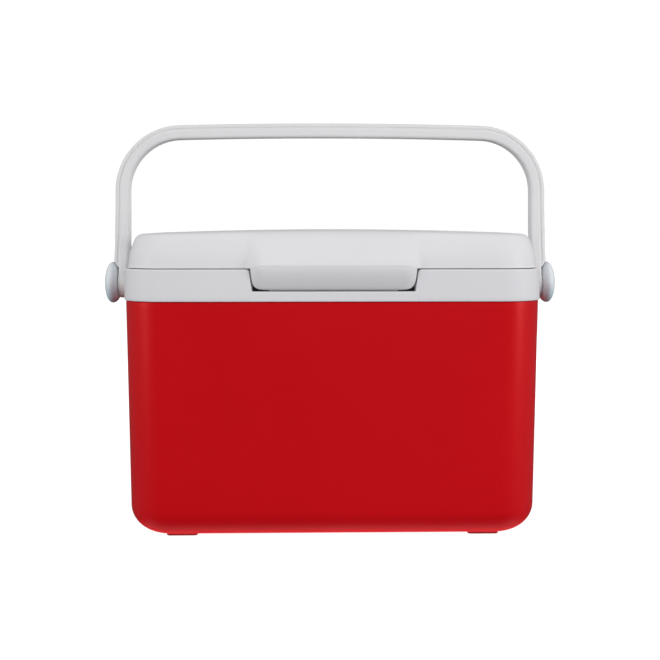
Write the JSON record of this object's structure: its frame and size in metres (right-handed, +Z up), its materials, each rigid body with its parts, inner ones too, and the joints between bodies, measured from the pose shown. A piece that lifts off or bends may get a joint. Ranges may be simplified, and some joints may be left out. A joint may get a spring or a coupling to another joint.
{
  "type": "hard cooler",
  "caption": "Hand-carried insulated hard cooler: tapered tub, rim collar, rear-hinged lid with a front lift lip, and a swinging bail handle on pivot knobs; rests on flat feet.",
  "frame": {"origin": "centre of the footprint, at the height of the undersides of the four feet", "axes": "+X to the right end seen from the front, -Y to the front (the lift lip's side), +Z up"},
  "size_m": [0.4504, 0.2636, 0.3843],
  "materials": {
    "red_shell": "satin",
    "red_foot": "matte",
    "pale_plastic": "satin",
    "handle_plastic": "satin",
    "knob_plastic": "satin",
    "liner_plastic": "satin",
    "foam": "matte",
    "washer_plastic": "matte",
    "clip_steel": "satin",
    "pin_steel": "satin"
  },
  "bodies": {
    "base": {"body_shell": "red_shell", "body_insulation": "foam", "inner_liner": "liner_plastic", "collar": "pale_plastic", "foot_front_left": "red_foot", "foot_front_right": "red_foot", "foot_rear_left": "red_foot", "foot_rear_right": "red_foot", "hinge_pin_left": "pin_steel", "hinge_pin_right": "pin_steel", "pivot_knob_left": "knob_plastic", "pivot_knob_right": "knob_plastic", "pivot_washer_left": "washer_plastic", "pivot_washer_right": "washer_plastic", "pivot_clip_left": "clip_steel", "pivot_clip_right": "clip_steel"},
    "lid": {"lid_shell": "pale_plastic", "lid_liner": "liner_plastic", "lid_insulation": "foam"},
    "handle": {"handle": "handle_plastic"}
  },
  "joints": [
    {"name": "lid_hinge", "type": "hinge", "parent": "base", "child": "lid", "pos_m": [0, 0.1272, 0.243], "axis": [-1, 0, 0], "range_deg": [0, 30]},
    {"name": "handle_swing", "type": "hinge", "parent": "base", "child": "handle", "pos_m": [0, 0, 0.226], "axis": [1, 0, 0], "range_deg": [-116, 116]}
  ]
}
